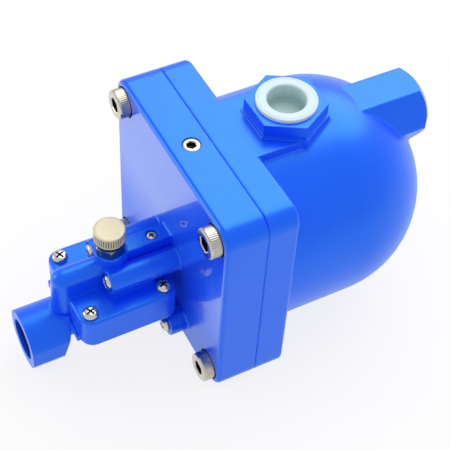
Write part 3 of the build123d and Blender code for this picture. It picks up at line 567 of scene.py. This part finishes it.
# ---------------------------------------------------------------------------
# A black nylon ring lies between nut and knob and goes up and down with the knob. It is
# turned, and half matt. Its near black also stands as painted shade for the dark gap there.
gap_shade_deep, gap_shade_light = (0.008, 0.008, 0.009, 1), (0.02, 0.02, 0.022, 1)

nylon_and_gap_shade, tree, shader = new_finish("nylon_and_gap_shade")
tree.links.new(blended(tree, grain(tree, 1200, 3), gap_shade_deep, gap_shade_light), shader.inputs["Base Color"])
between(tree, grain(tree, 1800), 0.3, 0.5, shader.inputs["Roughness"])
relief(tree, shader, grain(tree, 3000), 0.006 * mm)
dress(nylon_and_gap_shade, "stem_ring")


# ---------------------------------------------------------------------------
# The knob of the test valve is turned brass, straight knurled, with a flat top that was
# blasted before it was plated a champagne nickel, so that it sparkles in small specks. The
# knurl's grooves are darkened as painted shade.
knob_low, knob_top, knob_radius = axis_height + 11.4 * mm, axis_height + 17.4 * mm, 6.8 * mm
knob_teeth, knob_cut = 40, 0.42 * mm
champagne_bright = (0.82, 0.75, 0.55, 1)
champagne_dull = (0.58, 0.51, 0.34, 1)
# Painted shade colour down in the knurl's grooves.
champagne_groove_shade = (0.16, 0.13, 0.07, 1)
stem_hole = 2.6 * mm


def knurled_knob(radius, low, top, teeth, cut, hole, around=480):
    """Rings of the knob: foot, side, rim and top. Grooves are cut into the side where the tooth
    wave is near its end, and run out below the rim. A blind hole takes the stem from below."""
    angle = np.linspace(0, 2 * np.pi, around, endpoint=False)
    wave = np.abs((angle * teeth / (2 * np.pi) % 1) * 2 - 1)
    land = 0.45
    dish_in, dish_deep, hole_roof = 1.6 * mm, 0.03 * mm, 1.3 * mm
    groove = np.clip((wave - land) / (1 - land), 0, 1)
    rise = np.array([0.0, 0.25, 0.5, 0.75, 0.95, 1.2, 4.95, 5.2, 5.45, 5.6, 5.78, 5.92, 6.0]) * mm
    share = np.array([0, 0, 0, 0, 0.5, 1, 1, 0.5, 0, 0, 0, 0, 0])[:, None]
    plain = radius - np.array([0.5, 0.12, 0.0, 0, 0, 0, 0, 0, 0, 0.04, 0.14, 0.3, 0.55])[:, None] * mm
    side = plain - cut * groove * share
    radii = [hole, hole] + list(side) + [radius - dish_in]
    heights = [top - hole_roof, low] + list(low + rise) + [top - dish_deep]
    # The hollow mark follows the grooves: painted shade in them.
    hollow = np.concatenate([np.zeros(2 * around), (groove * share).ravel(), np.zeros(around), [0, 0]])
    return stacked(radii, heights, angle), hollow


knob_rings, knob_hollow = knurled_knob(knob_radius, knob_low, knob_top, knob_teeth, knob_cut, stem_hole)
knob_points, knob_faces = skin_over(knob_rings)
champagne = plated("champagne_nickel_blasted", champagne_bright, champagne_dull, 0.38, 0.6, 2200, 0.03 * mm,
                   champagne_groove_shade, metal=0.75)
knob = piece_from("knurled_test_knob", knob_points, knob_faces, [(unit_left, 0, 0)], champagne, knob_hollow)
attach(knob, "test_knob")
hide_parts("knob")


# ---------------------------------------------------------------------------
# Two polyethylene plugs keep dirt out of the inlets until the pipes are fitted: a flange, a
# sleeve pressed into the thread and a sunk floor. Moulded, milky, with rounded edges.
plug_flange, plug_height, plug_sleeve, plug_length = 12.95 * mm, 1.6 * mm, 9.05 * mm, 13 * mm
plug_hole, plug_depth, plug_floor = 8.2 * mm, 8 * mm, 1.2 * mm
plug_lip, plug_round = 0.9 * mm, 0.5 * mm
# The third colour of each plug is painted shade down in its hollow.
ice_white = (0.64, 0.77, 0.83, 1)
ice_shade = (0.56, 0.70, 0.77, 1)
ice_hollow_shade = (0.42, 0.58, 0.58, 1)
cream_white = (0.76, 0.72, 0.58, 1)
cream_shade = (0.70, 0.66, 0.52, 1)
cream_hollow_shade = (0.52, 0.50, 0.40, 1)


def moulded_plug(flange, height, sleeve, length, hole, depth, floor, lip, edge, around=128):
    """Rings of the plug from under its floor, down the sleeve's inside, up its outside, round the
    flange with a fine groove near its edge, and down the hole to the floor's middle."""
    angle = np.linspace(0, 2 * np.pi, around, endpoint=False)
    bend = np.linspace(0, np.pi / 2, 6)
    inner, step, lead_in, lead_along = 3 * mm, 0.6 * mm, 0.5 * mm, 0.6 * mm
    groove_at, groove_half, groove_deep = 1.15 * mm, 0.15 * mm, 0.14 * mm
    floor_in = np.array([0.15, 0.5, 0.9, 1.3, 1.5, 4]) * mm
    floor_rise = np.array([0.5, 0.1, 0, 0, 0.2, 0.2]) * mm
    floor_low = height - depth - floor
    radii = [hole - inner, hole - step, hole - step, sleeve - lead_in, sleeve, sleeve, flange]
    heights = [floor_low, floor_low, -length, -length, -length + lead_along, 0, 0]
    radii += list(flange - edge * (1 - np.cos(bend)))
    heights += list(height - edge + edge * np.sin(bend))
    radii += [flange - groove_at + groove_half, flange - groove_at, flange - groove_at - groove_half]
    heights += [height, height - groove_deep, height]
    radii += list(hole + lip * (1 - np.sin(bend)))
    heights += list(height - lip + lip * np.cos(bend))
    radii += list(hole - floor_in)
    heights += list(height - depth + floor_rise)
    # Painted shade, growing down the hole's wall to the floor.
    inside = [0.0] * 20 + [0.1, 0.35, 0.85, 1, 1, 1, 1, 1]
    hollow = np.repeat(inside, around)
    return stacked(radii, heights, angle), np.append(hollow, [0, 1])


def milky_plastic(name, light, shade, shade_in_hollow):
    """Milky polyethylene: light lets it glow a little, and painted shade darkens it down in the hollow."""
    material, tree, shader = new_finish(name)
    recess = tree.nodes.new("ShaderNodeAttribute")
    recess.attribute_name = "hollow"
    colour = blended(tree, recess.outputs["Fac"], blended(tree, grain(tree, 180, 3), shade, light), shade_in_hollow)
    tree.links.new(colour, shader.inputs["Base Color"])
    between(tree, grain(tree, 500), 0.28, 0.42, shader.inputs["Roughness"])
    shader.inputs["Subsurface Weight"].default_value = 0.15
    shader.inputs["Subsurface Radius"].default_value = (0.6, 1, 1)
    shader.inputs["Subsurface Scale"].default_value = 1.5 * mm
    relief(tree, shader, grain(tree, 900), 0.008 * mm)
    return material


plug_rings, plug_hollow = moulded_plug(plug_flange, plug_height, plug_sleeve, plug_length, plug_hole, plug_depth,
                                       plug_floor, plug_lip, plug_round)
plug_points, plug_faces = skin_over(plug_rings)
top_plug_box, end_plug_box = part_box("top_plug"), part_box("end_plug")
top_inlet_x, end_inlet_height = 27.7 * mm, axis_height + 31.5 * mm
top_place = (top_inlet_x, 0, top_plug_box[1].z - plug_height)
end_place = (end_plug_box[1].x - plug_height, 0, end_inlet_height)

top_plug = piece_from("moulded_top_plug", plug_points, plug_faces, [top_place],
                      milky_plastic("ice_polyethylene", ice_white, ice_shade, ice_hollow_shade), plug_hollow)
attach(top_plug, "top_plug")
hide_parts("top_plug")

end_plug = piece_from("moulded_end_plug", facing_right(plug_points), plug_faces, [end_place],
                      milky_plastic("cream_polyethylene", cream_white, cream_shade, cream_hollow_shade), plug_hollow)
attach(end_plug, "end_plug")
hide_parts("end_plug")


# ---------------------------------------------------------------------------
# The valve stands on a white table under an even white tent, with one broad soft lamp above and
# behind it and a small one that lights its edges. The table glows towards the eye and in the
# enamel's reflections, which keeps it white, and still takes a shadow.
table_half, table_height = 3.0, -0.3 * mm
table_paper, table_glow = (0.9, 0.9, 0.9, 1), 0.82
tent_glow = 0.76
lamp_aim = (0, 0, 0.06)
overhead_place, overhead_size, overhead_power = (0.54, 0.40, 0.82), 1.1, 6.2
edge_place, edge_size, edge_power = (-1.00, 0.74, 0.46), 0.6, 2.4

table_mesh = bpy.data.meshes.new("table")
table_corners = np.array([(-1, -1), (1, -1), (1, 1), (-1, 1)]) * table_half
table_mesh.from_pydata(np.column_stack([table_corners, np.full(4, table_height)]), [], [(0, 1, 2, 3)])
table = bpy.data.objects.new("table", table_mesh)
bpy.context.scene.collection.objects.link(table)

table_white = bpy.data.materials.new("table_white")
table_white.use_nodes = True
tree = table_white.node_tree
tree.nodes.clear()
output = tree.nodes.new("ShaderNodeOutputMaterial")
laid = tree.nodes.new("ShaderNodeMixShader")
paper = tree.nodes.new("ShaderNodeBsdfDiffuse")
paper.inputs["Color"].default_value = table_paper
glow = tree.nodes.new("ShaderNodeEmission")
ray = tree.nodes.new("ShaderNodeLightPath")
seen = tree.nodes.new("ShaderNodeMath")
seen.operation = "MAXIMUM"
lit = tree.nodes.new("ShaderNodeMath")
lit.operation = "MULTIPLY"
lit.inputs[1].default_value = table_glow
tree.links.new(ray.outputs["Is Camera Ray"], seen.inputs[0])
tree.links.new(ray.outputs["Is Glossy Ray"], seen.inputs[1])
tree.links.new(seen.outputs[0], lit.inputs[0])
tree.links.new(lit.outputs[0], laid.inputs[0])
tree.links.new(paper.outputs[0], laid.inputs[1])
tree.links.new(glow.outputs[0], laid.inputs[2])
tree.links.new(laid.outputs[0], output.inputs[0])
table_mesh.materials.append(table_white)

tent = bpy.data.worlds.new("white_tent")
bpy.context.scene.world = tent
tent.use_nodes = True
tree = tent.node_tree
tree.nodes.clear()
output = tree.nodes.new("ShaderNodeOutputWorld")
sky = tree.nodes.new("ShaderNodeBackground")
sky.inputs["Color"].default_value = (1, 1, 1, 1)
sky.inputs["Strength"].default_value = tent_glow
tree.links.new(sky.outputs[0], output.inputs[0])


def soft_lamp(name, place, aim, size, power):
    """A round area lamp at place that looks at aim."""
    light = bpy.data.lights.new(name, "AREA")
    light.shape = "DISK"
    light.size = size
    light.energy = power
    lamp = bpy.data.objects.new(name, light)
    bpy.context.scene.collection.objects.link(lamp)
    lamp.location = place
    lamp.rotation_mode = "QUATERNION"
    lamp.rotation_quaternion = (Vector(place) - Vector(aim)).to_track_quat("Z", "Y")


soft_lamp("overhead_lamp", overhead_place, lamp_aim, overhead_size, overhead_power)
soft_lamp("edge_lamp", edge_place, lamp_aim, edge_size, edge_power)

camera_data = bpy.data.cameras.new("camera")
camera_data.lens = 94.22
camera_data.sensor_width = 36
camera_data.clip_start = 0.01
camera = bpy.data.objects.new("camera", camera_data)
bpy.context.scene.collection.objects.link(camera)
camera_right = Vector((0.88700, -0.45965, 0.04434))
camera_up = Vector((0.32398, 0.68785, 0.64953))
camera_forward = Vector((0.32905, 0.56176, -0.75904))
camera_turn = Matrix((camera_right, camera_up, -camera_forward)).transposed().to_4x4()
camera_place = (-0.16842, -0.29219, axis_height + 0.38727)
camera.matrix_world = Matrix.Translation(camera_place) @ camera_turn
bpy.context.scene.camera = camera
bpy.context.scene.view_settings.view_transform = "Standard"
